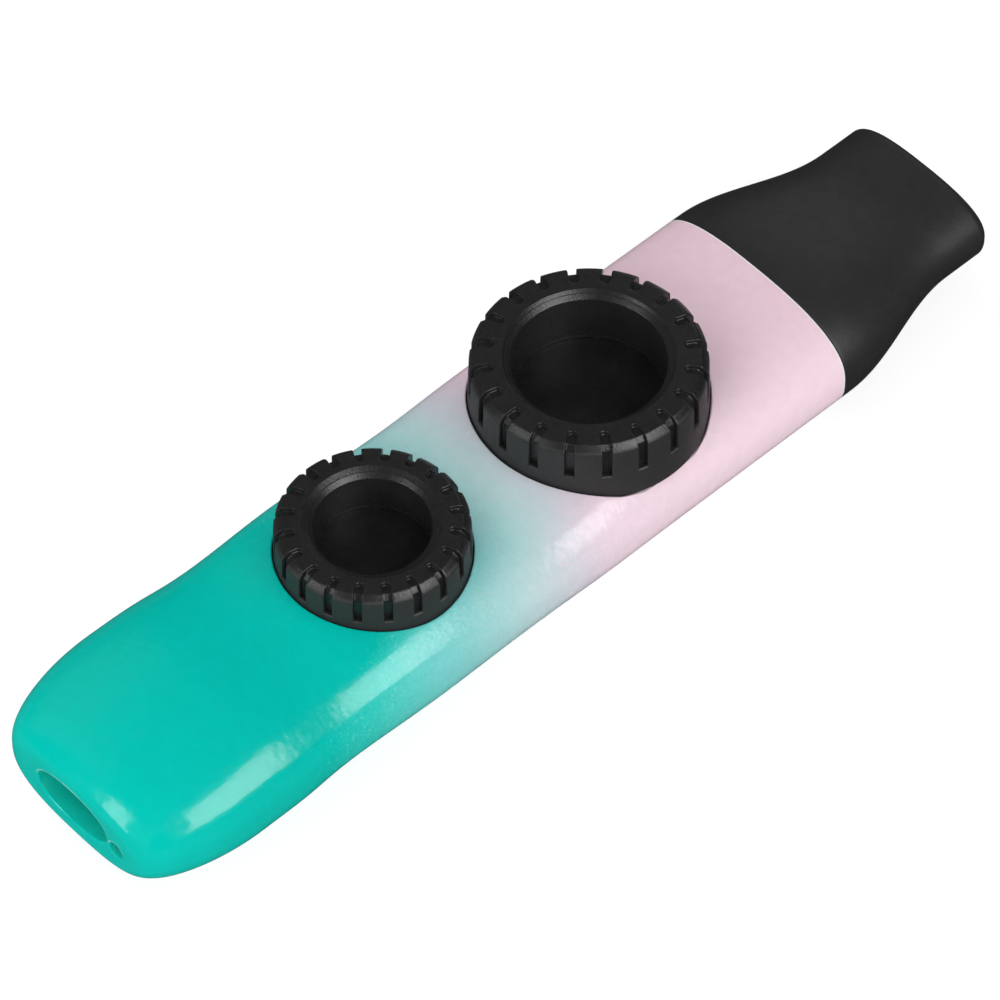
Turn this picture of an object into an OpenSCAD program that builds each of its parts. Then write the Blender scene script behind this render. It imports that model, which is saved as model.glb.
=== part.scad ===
// Kazoo with two screw-capped membranes.
// +X runs along the body towards the mouthpiece, +Z is up, and the origin is under its middle.

/* [Body] */
// Length of the painted body, from the outlet end to the joint
body_l = 114; // [108:1:130]
// Width of the body
body_w = 33; // [32.5:0.5:38]
// Height of the body
body_h = 17.5; // [17:0.1:20]
// Height of the body at its joint with the mouthpiece
joint_h = 16.7; // [16.2:0.1:17.5]
// Width of the face at the outlet end
end_w = 20.2; // [18:0.1:24]
// Height of the face at the outlet end
end_h = 9.4; // [9:0.1:11]
// How far the middle of that face lies below the body's middle
end_drop = 0.6; // [0:0.1:0.8]
// Length over which the end widens to the full width
end_side_l = 16.5; // [10:0.5:20]
// Length over which the end rises to the full height
end_crown_l = 22; // [14:0.5:28]
// How much wider the body swells just behind its end
swell = 0.7; // [0:0.1:1.5]
// How much narrower the waist is where the fingers hold it
waist = 0.3; // [0:0.1:1.2]
// How much lower the crown comes down at the outlet end
end_dip = 1.25; // [0:0.05:1.5]
// Depth of the hollow in the crown behind the small cap
rear_dip = 0.7; // [0:0.05:1]
// Depth of the hollow in the crown between the caps
middle_dip = 1; // [0:0.05:1.3]
// Wall round the open end that takes the mouthpiece
body_wall = 2; // [1.6:0.1:2.4]
// Width of the outlet
outlet_w = 12.6; // [10:0.1:13]
// Height of the outlet
outlet_h = 6.1; // [5:0.1:6.4]
// How far the outlet stands off the middle, away from the lanyard hole
outlet_shift = 0.45; // [0:0.05:0.8]
// How far the middle of the outlet lies below the body's middle
outlet_drop = 0.55; // [0.3:0.05:0.8]
// Thickness of the end wall
end_wall = 4; // [3:0.1:5]
// Diameter of the lanyard hole
lanyard_d = 2.3; // [1.8:0.1:2.6]
// Width of the post between the outlet and the lanyard hole
lanyard_post = 0.6; // [0.5:0.1:1.2]

/* [Mouthpiece] */
// Length of the mouthpiece in front of the joint
mouth_l = 30.2; // [26:0.2:38]
// Width of the mouthpiece at its end
mouth_w = 24; // [21:0.1:27]
// Height of the mouthpiece at its end
mouth_h = 10.7; // [9.4:0.1:12]
// Wall of the mouthpiece
mouth_wall = 1.9; // [1.6:0.1:2.2]
// Rounding of the mouthpiece's end
mouth_round = 1.5; // [1:0.1:1.6]
// Length of the spigot that plugs into the body
spigot_l = 9; // [7:0.5:12]
// Wall of the spigot
spigot_wall = 2; // [1.8:0.1:2.2]

/* [Large cap] */
// Diameter of the large cap
large_d = 30.4; // [29.6:0.1:31.2]
// Height of the large cap
large_h = 9.8; // [9:0.1:12]
// Thickness of its skirt
large_skirt = 2; // [1.9:0.05:2.3]
// How much the wall of the large cap leans in from its foot to its upper slope
large_lean = 0.25; // [0.05:0.05:0.35]
// Wall of the neck that it screws onto
large_neck_wall = 1.45; // [1.2:0.05:1.8]
// Width of the upper slope of its lip
large_lip_up = 0.35; // [0.2:0.05:0.6]
// Width of each grip groove
large_slot_w = 1.25; // [0.9:0.05:1.6]
// Depth of each grip groove
large_slot_depth = 0.95; // [0.6:0.05:1.1]
// Height of the grooves' lower ends over the cap's lower edge
large_slot_foot = 4.5; // [3.5:0.1:5.5]
// Distance from the joint back to the cap's axis
large_back = 29.1; // [28.5:0.1:33]

/* [Small cap] */
// Diameter of the small cap
small_d = 24.6; // [23.8:0.1:26]
// Height of the small cap
small_h = 8.15; // [7.4:0.05:9]
// Thickness of its skirt
small_skirt = 1.8; // [1.7:0.05:2]
// How much the wall of the small cap leans in from its foot to its upper slope
small_lean = 0.15; // [0.05:0.05:0.3]
// Wall of the neck that it screws onto
small_neck_wall = 1.2; // [1:0.05:1.5]
// Width of the upper slope of its lip
small_lip_up = 0.67; // [0.4:0.05:0.8]
// Width of each grip groove
small_slot_w = 1.1; // [0.8:0.05:1.4]
// Depth of each grip groove
small_slot_depth = 0.85; // [0.5:0.05:0.95]
// Height of the grooves' lower ends over the cap's lower edge
small_slot_foot = 3.75; // [3:0.05:4.5]
// Distance between the two caps' axes
cap_spacing = 36.2; // [33:0.1:40]

/* [Both caps] */
// Number of grip grooves on each cap
slot_count = 20; // [12:1:22]
// Depth of the pockets that the caps stand in, under the crown
pocket_depth = 3.7; // [3:0.1:4.2]
// Thickness of the pockets' floors
pocket_floor = 1.8; // [1.4:0.1:2]
// Thickness of the caps' tops
cap_top = 2.3; // [2:0.05:2.6]
// Width and height of the slope round the caps' upper edges
cap_slope = 0.95; // [0.6:0.05:1.1]
// Width of the lower slope of the caps' lips
lip_low = 0.62; // [0.4:0.02:0.8]
// Rise of the lower slope of the caps' lips
lip_low_rise = 0.53; // [0.3:0.01:0.6]
// Rise of the upper slope of the caps' lips
lip_up_rise = 0.44; // [0.3:0.01:0.5]
// Wall of the tube inside each cap that presses the membrane down
boss_wall = 0.9; // [0.7:0.05:1.1]

/* [Membranes] */
// Thickness of the gaskets
gasket_t = 0.6; // [0.4:0.1:0.8]
// Thickness of the membrane rings
ring_t = 0.8; // [0.6:0.1:1]
// Thickness of the films
film_t = 0.1; // [0.06:0.01:0.15]
// Thickness of the slip rings
slip_t = 0.7; // [0.5:0.05:0.8]

/* [Hidden] */
$fn = 96;

// Overrun of every cut past the face that it opens
cut = 1;

// Sections of the body are superellipses: 2 is an ellipse, and more is squarer
body_power = 2.6;
outlet_power = 2.2;
// Shape of the rounding at the outlet end, where 2 is a quarter of an ellipse
end_power = 2.3;
section_count = 64;
bore_count = 48;
end_steps = 10;
run_steps = 14;
mouth_steps = 12;
round_steps = 4;
cavity_steps = 7;

// Where the swell and the waist are, from the outlet end, and half the length of each
swell_at = 15;
swell_reach = 13;
waist_at = 36;
waist_reach = 18;
// Where the hollows in the crown are, from the outlet end, and half the length of each
rear_dip_at = 32;
rear_dip_reach = 14;
middle_dip_at = 66;
middle_dip_reach = 16;
// Where the crown starts to fall towards the joint, from the outlet end
crown_fall_at = 50;
// Bevel on both sides of the joint, which makes its fine line
joint_bevel = 0.2;

// The socket in the body's open end, and the spigot's clearances in it
socket_extra = 0.5;
spigot_gap = 0.12;
seal_w = 1.6;
seal_depth = 1;
seal_at = 4.5;
seal_squash = 0.05;
seal_seat = 0.05;

// The cavity stands in from the socket, and starts as these shares of its full size
cavity_step = 0.3;
cavity_taper_l = 14;
cavity_start_w_share = 0.72;
cavity_start_h_share = 0.64;
// Wall left round each pocket inside the body
cup_wall = 1.6;
// How far below the body's middle the lanyard hole lies
lanyard_drop = 1.25;

// Where the mouthpiece narrows, from the joint
neck_in_start = 2;
neck_in_end = 23;
fall_end = 22;

// Clearances of the caps
pocket_gap = 0.3;
seat_gap = 0.2;
thread_gap = 0.3;
neck_top_gap = 1;
bore_gap = 0.3;
clip_gap = 0.1;
slip_gap = 0.05;
// Cross-section of the caps' edges
lip_step = 0.08;
edge_bevel = 0.25;
slope_fall = 1;
// Grooves on the caps' tops
large_slot_in = 3.2;
small_slot_in = 2.8;
slot_top_depth = 0.55;
// The clip that holds each slip ring under its cap
clip_wall = 0.35;
clip_h = 1.1;
bead = 0.15;
bead_h = 0.3;
// Clearance of the membrane rings, the films and the gaskets in the neck
cartridge_gap = 0.3;
film_edge = 0.1;
gasket_inset = 0.2;

// How far each cap's grooves are turned from the body's axis, in degrees
large_turn = 1.6;
small_turn = 3.2;

// Places in the part's frame
total_l = body_l + mouth_l;
end_x = -total_l / 2;
joint_x = end_x + body_l;
axis_z = body_h / 2;
large_x = joint_x - large_back;
small_x = large_x - cap_spacing;
floor_z = body_h - pocket_depth;
ring_z = floor_z + gasket_t;
film_z = ring_z + ring_t;
slip_z = film_z + film_t;
boss_z = slip_z + slip_t + slip_gap;
cap_z = floor_z + seat_gap;

// The socket's half sizes, which the spigot, the seal and the cavity follow
socket_a = half_width(body_l) - body_wall;
socket_b = half_height(body_l) - body_wall;

function wave(s, at, reach) = abs(s - at) < reach ? (1 + cos(180 * (s - at) / reach)) / 2 : 0;
function ease(u) = let (v = min(max(u, 0), 1)) v * v * (3 - 2 * v);
function mix(a, b, u) = a + (b - a) * u;
function rise(s, l) = let (u = min(max(s / l, 0), 1)) pow(1 - pow(1 - u, end_power), 1 / end_power);

// Half width and half height of the body at a distance from its outlet end
function half_width(s) =
    mix(end_w, body_w, rise(s, end_side_l)) / 2
    + swell / 2 * wave(s, swell_at, swell_reach) - waist / 2 * wave(s, waist_at, waist_reach);
function half_height(s) =
    mix(end_h, mix(body_h, joint_h, ease((s - crown_fall_at) / (body_l - crown_fall_at))),
        rise(s, end_crown_l)) / 2;
function crown_dip(s) =
    end_dip * (1 - rise(s, end_crown_l))
    + rear_dip * wave(s, rear_dip_at, rear_dip_reach) + middle_dip * wave(s, middle_dip_at, middle_dip_reach);
function middle_drop(s) = end_drop * (1 - rise(s, end_crown_l));

// Half width and half height of the mouthpiece at a distance from the joint
function mouth_half_width(m) =
    mix(half_width(body_l), mouth_w / 2, ease((m - neck_in_start) / (neck_in_end - neck_in_start)));
function mouth_half_height(m) = mix(half_height(body_l), mouth_h / 2, ease(m / fall_end));
function round_in(m) =
    let (u = min(max((m - mouth_l + mouth_round) / mouth_round, 0), 1)) mouth_round * (1 - sqrt(1 - u * u));

// One section: a superellipse of half sizes a and b
function power_sign(v, p) = sign(v) * pow(abs(v), p);
function oval(a, b, n, count) =
    [for (i = [0 : count - 1])
        let (t = 360 * i / count)
        [a * power_sign(cos(t), 2 / n), b * power_sign(sin(t), 2 / n)]];
function ring(x, a, b, count) = [for (p = oval(a, b, body_power, count)) [x, p[0], axis_z + p[1]]];
// A ring of the body's skin: its crown is lowered by dip, and all of it by drop
function skin_ring(x, a, b, dip, drop, count) =
    [for (p = oval(a, b, body_power, count)) [x, p[0], axis_z - drop + p[1] * (p[1] > 0 ? 1 - dip / b : 1)]];

// Closes a row of sections, each with count points, into a solid
module loft(rings, count) {
    last = len(rings) - 1;
    polyhedron(
        points = [for (r = rings) each r],
        faces = [
            [for (i = [0 : count - 1]) i],
            [for (i = [0 : count - 1]) last * count + count - 1 - i],
            for (k = [0 : last - 1], i = [0 : count - 1])
                let (j = (i + 1) % count, here = k * count, next = here + count)
                each [[here + i, next + i, next + j], [here + i, next + j, here + j]]
        ]);
}

// A straight oval prism along X
module prism(x, length, a, b, n, count) {
    translate([x, 0, axis_z])
        rotate([90, 0, 90])
            linear_extrude(length)
                polygon(oval(a, b, n, count));
}

// Lengths along the body at which its outer skin has a section, closer together at the rounded end
body_stops = concat(
    [for (i = [0 : end_steps - 1]) end_crown_l * pow(i / end_steps, 2)],
    [for (i = [0 : run_steps]) mix(end_crown_l, body_l - joint_bevel, i / run_steps)],
    [body_l]);

module body_skin() {
    loft([for (s = body_stops)
        let (inset = s == body_l ? joint_bevel : 0)
        skin_ring(end_x + s, half_width(s) - inset, half_height(s) - inset, crown_dip(s), middle_drop(s),
                  section_count)], section_count);
}

// The hollow inside, without the pockets' floors
module cavity() {
    a = socket_a - cavity_step;
    b = socket_b - cavity_step;
    far = body_l - spigot_l - socket_extra;
    stops = concat(
        [for (i = [0 : cavity_steps]) end_wall + cavity_taper_l * pow(i / cavity_steps, 2)],
        [far + cut]);
    loft([for (s = stops)
        let (u = rise(s - end_wall, cavity_taper_l))
        ring(end_x + s, a * mix(cavity_start_w_share, 1, u), b * mix(cavity_start_h_share, 1, u),
             bore_count)],
        bore_count);
}

module cavity_and_cups() {
    difference() {
        cavity();
        for (c = [[large_x, pocket_r(large_d)], [small_x, pocket_r(small_d)]])
            translate([c[0], 0, floor_z - pocket_floor])
                cylinder(r = c[1] + cup_wall, h = body_h);
    }
    prism(joint_x - spigot_l - socket_extra, spigot_l + socket_extra + cut, socket_a, socket_b,
          body_power, section_count);
}

// Radii that each cap and its neck share, from the outside in
function pocket_r(d) = d / 2 + pocket_gap;
function skirt_in_r(d, skirt) = d / 2 - skirt;
function neck_r(d, skirt) = skirt_in_r(d, skirt) - thread_gap;
function bore_r(d, skirt, wall) = neck_r(d, skirt) - wall;
function boss_r(d, skirt, wall) = bore_r(d, skirt, wall) - bore_gap;
function clip_r(d, skirt, wall) = boss_r(d, skirt, wall) - clip_wall;
function boss_low_r(d, skirt, wall) = clip_r(d, skirt, wall) - clip_gap;
function well_r(d, skirt, wall) = boss_low_r(d, skirt, wall) - boss_wall;
function neck_top_z(h) = cap_z + h - cap_top - neck_top_gap;

// A pocket in the crown, with the neck standing in it
module neck_add(x, d, h, skirt) {
    translate([x, 0, floor_z - cut])
        cylinder(r = neck_r(d, skirt), h = neck_top_z(h) - floor_z + cut);
}

module pocket_cut(x, d, skirt) {
    translate([x, 0, floor_z])
        rotate_extrude()
            translate([neck_r(d, skirt), 0])
                square([pocket_r(d) - neck_r(d, skirt), body_h]);
}

module neck_cut(x, d, skirt, wall) {
    translate([x, 0, floor_z])
        cylinder(r = bore_r(d, skirt, wall), h = body_h);
    translate([x, 0, floor_z - pocket_floor - cut])
        cylinder(r = well_r(d, skirt, wall), h = body_h);
}

module body_shell() {
    color("mediumturquoise")
        difference() {
            union() {
                body_skin();
                neck_add(large_x, large_d, large_h, large_skirt);
                neck_add(small_x, small_d, small_h, small_skirt);
            }
            cavity_and_cups();
            pocket_cut(large_x, large_d, large_skirt);
            pocket_cut(small_x, small_d, small_skirt);
            neck_cut(large_x, large_d, large_skirt, large_neck_wall);
            neck_cut(small_x, small_d, small_skirt, small_neck_wall);
            translate([0, outlet_shift, -outlet_drop])
                prism(end_x - cut, end_wall + 2 * cut, outlet_w / 2, outlet_h / 2, outlet_power, bore_count);
            translate([end_x - cut, outlet_shift - (outlet_w + lanyard_d) / 2 - lanyard_post,
                       axis_z - lanyard_drop])
                rotate([0, 90, 0])
                    cylinder(d = lanyard_d, h = end_wall + 2 * cut, $fn = 48);
        }
}

// The mouthpiece's outer skin, its airway, and the spigot with its groove
module mouthpiece() {
    spigot_a = socket_a - spigot_gap;
    spigot_b = socket_b - spigot_gap;
    outer_stops = concat(
        [0, joint_bevel],
        [for (i = [1 : mouth_steps]) mix(joint_bevel, mouth_l - mouth_round, i / mouth_steps)],
        [for (i = [1 : round_steps]) mouth_l - mouth_round * (1 - sin(90 * i / round_steps))]);
    inner_stops = concat(
        [-spigot_l - cut, 0],
        [for (i = [1 : mouth_steps]) mouth_l * i / mouth_steps],
        [mouth_l + cut]);
    color("#202022")
        difference() {
            union() {
                loft([for (m = outer_stops)
                    let (inset = m == 0 ? joint_bevel : round_in(m))
                    ring(joint_x + m, mouth_half_width(m) - inset, mouth_half_height(m) - inset,
                         section_count)],
                    section_count);
                prism(joint_x - spigot_l, spigot_l + cut, spigot_a, spigot_b, body_power, section_count);
            }
            loft([for (m = inner_stops)
                ring(joint_x + m,
                     min(mouth_half_width(m) - mouth_wall, spigot_a - spigot_wall),
                     min(mouth_half_height(m) - mouth_wall, spigot_b - spigot_wall), bore_count)],
                bore_count);
            difference() {
                prism(joint_x - seal_at - seal_w / 2, seal_w, socket_a, socket_b, body_power, section_count);
                prism(joint_x - seal_at - seal_w, 2 * seal_w, spigot_a - seal_depth, spigot_b - seal_depth,
                      body_power, section_count);
            }
        }
}

module mouthpiece_seal() {
    width = seal_w - 2 * seal_seat;
    color("#3a3a3c")
        difference() {
            prism(joint_x - seal_at - width / 2, width, socket_a - seal_squash, socket_b - seal_squash,
                  body_power, section_count);
            prism(joint_x - seal_at - seal_w, 2 * seal_w, socket_a - spigot_gap - seal_depth,
                  socket_b - spigot_gap - seal_depth, body_power, section_count);
        }
}

// One grip groove: down the slope and the wall to a level foot, with a round inner end on the top
module slot(d, h, width, depth, foot, in) {
    top = cap_z + h;
    wall = d / 2 - depth;
    start = d / 2 - in + width / 2;
    rotate([90, 0, 0])
        linear_extrude(width, center = true)
            polygon([
                [start, top - slot_top_depth],
                [wall - cap_slope + slot_top_depth / 2, top - slot_top_depth],
                [wall, top - slot_top_depth - slope_fall + slot_top_depth / 2],
                [wall, cap_z + foot],
                [d / 2 + cut, cap_z + foot],
                [d / 2 + cut, top + cut],
                [start, top + cut]]);
    translate([start, 0, top - slot_top_depth])
        cylinder(d = width, h = slot_top_depth + cut, $fn = 24);
}

// A screw cap: grooved skirt, stepped lip round the well, and the tube that presses the membrane down
module grip_cap(d, h, skirt, lean, neck_wall, lip_up, slot_w, slot_depth, slot_foot, slot_in, turn) {
    top = cap_z + h;
    rim = top - lip_low_rise - lip_up_rise;
    well = well_r(d, skirt, neck_wall);
    low = boss_low_r(d, skirt, neck_wall);
    high = boss_r(d, skirt, neck_wall);
    inside = skirt_in_r(d, skirt);
    clip_top = slip_z + slip_t + clip_h;
    groove_low = clip_top - bead_h - clip_gap;
    difference() {
        rotate_extrude()
            polygon([
                [well, boss_z],
                [low, boss_z],
                [low, groove_low],
                [low - bead, groove_low],
                [low - bead, clip_top + clip_gap],
                [high, clip_top + clip_gap],
                [high, top - cap_top],
                [inside, top - cap_top],
                [inside, cap_z + edge_bevel],
                [inside + edge_bevel, cap_z],
                [d / 2 - edge_bevel, cap_z],
                [d / 2, cap_z + edge_bevel],
                [d / 2 - lean, top - slope_fall],
                [d / 2 - lean - cap_slope, top],
                [well + lip_low + lip_step + lip_up, top],
                [well + lip_low + lip_step, rim + lip_low_rise],
                [well + lip_low, rim + lip_low_rise],
                [well, rim]]);
        for (i = [0 : slot_count - 1])
            rotate([0, 0, turn + 360 * i / slot_count])
                slot(d, h, slot_w, slot_depth, slot_foot, slot_in);
    }
}

// A slip ring: a washer on the film, with a wall that clips round the cap's tube
module slip_ring(d, skirt, neck_wall) {
    well = well_r(d, skirt, neck_wall);
    outer = boss_r(d, skirt, neck_wall);
    inner = clip_r(d, skirt, neck_wall);
    washer_top = slip_z + slip_t;
    rotate_extrude()
        polygon([
            [well, slip_z],
            [outer, slip_z],
            [outer, washer_top + clip_h],
            [inner - bead, washer_top + clip_h],
            [inner - bead, washer_top + clip_h - bead_h],
            [inner, washer_top + clip_h - bead_h],
            [inner, washer_top],
            [well, washer_top]]);
}

// A flat ring in the neck's bore, standing in from it by the cartridges' clearance
module flat_ring(z, t, outer, inner) {
    translate([0, 0, z])
        rotate_extrude()
            translate([inner, 0])
                square([outer - inner, t]);
}

module large_cap() {
    color("#1c1c1e")
        translate([large_x, 0, 0])
            grip_cap(large_d, large_h, large_skirt, large_lean, large_neck_wall, large_lip_up, large_slot_w,
                     large_slot_depth, large_slot_foot, large_slot_in, large_turn);
}

module large_slip_ring() {
    color("#d9d9d2")
        translate([large_x, 0, 0])
            slip_ring(large_d, large_skirt, large_neck_wall);
}

module large_membrane() {
    color("#b9c4c4")
        translate([large_x, 0, film_z])
            cylinder(r = bore_r(large_d, large_skirt, large_neck_wall) - cartridge_gap - film_edge,
                     h = film_t);
}

module large_membrane_ring() {
    color("#e4e2da")
        translate([large_x, 0, 0])
            flat_ring(ring_z, ring_t, bore_r(large_d, large_skirt, large_neck_wall) - cartridge_gap,
                      well_r(large_d, large_skirt, large_neck_wall));
}

module large_gasket() {
    color("#4a4a4c")
        translate([large_x, 0, 0])
            flat_ring(floor_z, gasket_t, bore_r(large_d, large_skirt, large_neck_wall) - cartridge_gap,
                      well_r(large_d, large_skirt, large_neck_wall) + gasket_inset);
}

module small_cap() {
    color("#1c1c1e")
        translate([small_x, 0, 0])
            grip_cap(small_d, small_h, small_skirt, small_lean, small_neck_wall, small_lip_up, small_slot_w,
                     small_slot_depth, small_slot_foot, small_slot_in, small_turn);
}

module small_slip_ring() {
    color("#d9d9d2")
        translate([small_x, 0, 0])
            slip_ring(small_d, small_skirt, small_neck_wall);
}

module small_membrane() {
    color("#b9c4c4")
        translate([small_x, 0, film_z])
            cylinder(r = bore_r(small_d, small_skirt, small_neck_wall) - cartridge_gap - film_edge,
                     h = film_t);
}

module small_membrane_ring() {
    color("#e4e2da")
        translate([small_x, 0, 0])
            flat_ring(ring_z, ring_t, bore_r(small_d, small_skirt, small_neck_wall) - cartridge_gap,
                      well_r(small_d, small_skirt, small_neck_wall));
}

module small_gasket() {
    color("#4a4a4c")
        translate([small_x, 0, 0])
            flat_ring(floor_z, gasket_t, bore_r(small_d, small_skirt, small_neck_wall) - cartridge_gap,
                      well_r(small_d, small_skirt, small_neck_wall) + gasket_inset);
}

body_shell();
mouthpiece();
mouthpiece_seal();
large_cap();
large_slip_ring();
large_membrane();
large_membrane_ring();
large_gasket();
small_cap();
small_slip_ring();
small_membrane();
small_membrane_ring();
small_gasket();
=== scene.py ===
"""The looks of the kazoo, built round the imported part.

Lengths are in millimetres until mm_object() turns them to metres. Lights, floor and camera are in metres.
"""
import math

import bpy
import numpy as np
from mathutils import Matrix, Vector


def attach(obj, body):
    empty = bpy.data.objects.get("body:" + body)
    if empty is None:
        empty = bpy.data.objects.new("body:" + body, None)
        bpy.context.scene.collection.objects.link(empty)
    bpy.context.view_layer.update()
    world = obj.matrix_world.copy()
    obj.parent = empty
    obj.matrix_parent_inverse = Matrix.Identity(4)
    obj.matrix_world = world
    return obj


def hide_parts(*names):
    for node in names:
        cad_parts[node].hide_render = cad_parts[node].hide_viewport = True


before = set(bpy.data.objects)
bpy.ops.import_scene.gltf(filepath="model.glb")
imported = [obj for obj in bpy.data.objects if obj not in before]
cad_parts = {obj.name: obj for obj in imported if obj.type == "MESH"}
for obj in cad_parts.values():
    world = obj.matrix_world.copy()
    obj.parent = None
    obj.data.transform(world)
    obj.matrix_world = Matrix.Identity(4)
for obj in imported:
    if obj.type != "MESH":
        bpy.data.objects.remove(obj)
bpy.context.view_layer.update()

# ---------------------------------------------------------------- sizes, as in the part's source
TOTAL_L, BODY_L, MOUTH_L = 144.2, 114.0, 30.2
END_X = -TOTAL_L / 2
JOINT_X = END_X + BODY_L
BODY_W, BODY_H, JOINT_H = 33.0, 17.5, 16.7
AXIS_Z = 8.75
END_W, END_H, END_DROP = 20.2, 9.4, 0.6
END_SIDE_L, END_CROWN_L = 16.5, 22.0
SWELL, WAIST = 0.7, 0.3
END_DIP, REAR_DIP, MIDDLE_DIP = 1.25, 0.7, 1.0
CROWN_FALL_AT = 50.0
POWER, END_POWER = 2.6, 2.3
END_WALL = 4.0
JOINT_EDGE = 0.22

# Half width and half height of the ovals, and the places of the two holes in the body's end
OUTLET_A, OUTLET_B, OUTLET_Y, OUTLET_Z, OUTLET_POWER = 6.3, 3.05, 0.45, AXIS_Z - 0.55, 2.2
LANYARD_R, LANYARD_Y, LANYARD_Z = 1.15, -7.6, AXIS_Z - 1.25
SOCKET_A, SOCKET_B = 14.5, 6.35
SPIGOT_A, SPIGOT_B = SOCKET_A - 0.12, SOCKET_B - 0.12
SPIGOT_L, SPIGOT_WALL = 9.0, 2.0
MOUTH_A, MOUTH_B, MOUTH_WALL, MOUTH_ROUND = 12.0, 5.35, 1.9, 1.5

FLOOR_Z, FLOOR_T = 13.8, 1.8
CUP_WALL, CAVITY_STEP, CAVITY_TAPER_L = 1.6, 0.3, 14.0
ABOVE = 30.0
PITCH = 1.5

CAPS = {
    "large": dict(x=12.8, d=30.4, h=9.8, skirt=2.0, lean=0.25, neck_wall=1.45, lip_up=0.35, slot_w=1.25,
                  slot_depth=0.95, foot=4.5, slot_in=3.2, turn=1.6),
    "small": dict(x=-23.4, d=24.6, h=8.15, skirt=1.8, lean=0.15, neck_wall=1.2, lip_up=0.67, slot_w=1.1,
                  slot_depth=0.85, foot=3.75, slot_in=2.8, turn=3.2),
}
SLOTS, SLOT_TOP_DEPTH, CAP_TOP, CAP_SLOPE, SLOPE_FALL = 20, 0.55, 2.3, 0.95, 1.0
LIP_LOW, LIP_LOW_RISE, LIP_UP_RISE, LIP_STEP = 0.62, 0.53, 0.44, 0.08
RING_Z, FILM_Z, SLIP_Z, BOSS_Z, CAP_Z = 14.4, 15.2, 15.3, 16.05, 14.0
GASKET_T, RING_T, FILM_T, SLIP_T = 0.6, 0.8, 0.1, 0.7
CLIP_WALL, CLIP_H, BEAD, BEAD_H, BOSS_WALL = 0.35, 1.1, 0.15, 0.3, 0.9
POCKET_GAP, THREAD_GAP, BORE_GAP, CLIP_GAP, NECK_TOP_GAP, CARTRIDGE_GAP = 0.3, 0.3, 0.3, 0.1, 1.0, 0.3
EDGE_BEVEL = 0.25
# The pockets are this much smaller in radius than in the source, as the photograph's gap looks finer
POCKET_TRIM = 0.2
# The radii that each cap shares with its pocket and its neck, from the outside in, and the heights of both tops
for c in CAPS.values():
    c["pocket"] = c["d"] / 2 + POCKET_GAP
    c["inside"] = c["d"] / 2 - c["skirt"]
    c["neck"] = c["inside"] - THREAD_GAP
    c["bore"] = c["neck"] - c["neck_wall"]
    c["high"] = c["bore"] - BORE_GAP
    c["clip"] = c["high"] - CLIP_WALL
    c["low"] = c["clip"] - CLIP_GAP
    c["well"] = c["low"] - BOSS_WALL
    c["top"] = CAP_Z + c["h"]
    c["neck_top"] = c["top"] - CAP_TOP - NECK_TOP_GAP


def rise(s, length):
    """From 0 to 1 over a length, steep at first like a rounded end."""
    return (1 - (1 - np.clip(s / length, 0, 1)) ** END_POWER) ** (1 / END_POWER)


def ease(u):
    """From 0 to 1, level at both ends."""
    v = np.clip(u, 0, 1)
    return v * v * (3 - 2 * v)


def wave(s, at, reach):
    """A single smooth hump of height 1."""
    return np.where(np.abs(s - at) < reach, (1 + np.cos(np.pi * (s - at) / reach)) / 2, 0.0)


def curve_through(points):
    """A smooth curve through points (s, value), level at both ends and zero beyond them."""
    x, y = np.array(points, float).T
    h, n = np.diff(x), len(points)
    a, b = np.zeros((n, n)), np.zeros(n)
    a[0, :2], b[0] = (2 * h[0], h[0]), 6 * (y[1] - y[0]) / h[0]
    a[-1, -2:], b[-1] = (h[-1], 2 * h[-1]), -6 * (y[-1] - y[-2]) / h[-1]
    for i in range(1, n - 1):
        a[i, i - 1:i + 2] = h[i - 1], 2 * (h[i - 1] + h[i]), h[i]
        b[i] = 6 * ((y[i + 1] - y[i]) / h[i] - (y[i] - y[i - 1]) / h[i - 1])
    bend = np.linalg.solve(a, b)

    def value(s):
        s = np.asarray(s, float)
        k = np.clip(np.searchsorted(x, s) - 1, 0, n - 2)
        q, p = (s - x[k]) / h[k], (x[k + 1] - s) / h[k]
        v = p * y[k] + q * y[k + 1] + ((p ** 3 - p) * bend[k] + (q ** 3 - q) * bend[k + 1]) * h[k] ** 2 / 6
        return np.where((s > x[0]) & (s < x[-1]), v, 0.0)

    return value


# The moulding's faint unevenness, which breaks up the reflections along its side
ripple = curve_through([(17, 0), (24.3, 0.13), (28.6, -0.08), (38, 0), (45, 0.09), (53, -0.07), (66, -0.09),
                        (73, 0.05), (84, 0)])


# The body's form at a distance s from its outlet's end
def half_width(s):
    plain = (END_W + (BODY_W - END_W) * rise(s, END_SIDE_L)) / 2
    return plain + SWELL / 2 * wave(s, 15, 13) - WAIST / 2 * wave(s, 36, 18) + ripple(s)


def half_height(s):
    full = BODY_H - (BODY_H - JOINT_H) * ease((s - CROWN_FALL_AT) / (BODY_L - CROWN_FALL_AT))
    return (END_H + (full - END_H) * rise(s, END_CROWN_L)) / 2


def crown_dip(s):
    return END_DIP * (1 - rise(s, END_CROWN_L)) + REAR_DIP * wave(s, 32, 14) + MIDDLE_DIP * wave(s, 66, 16)


def end_drop(s):
    return END_DROP * (1 - rise(s, END_CROWN_L))


def crown_z(x, y):
    """Height of the body's upper skin over a point, or of its middle line where there is no body."""
    s = np.asarray(x) - END_X
    a, b = half_width(s), half_height(s)
    q = np.clip(1 - (np.abs(y) / a) ** POWER, 0, 1) ** (1 / POWER)
    return AXIS_Z - end_drop(s) + q * (b - crown_dip(s))


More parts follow.
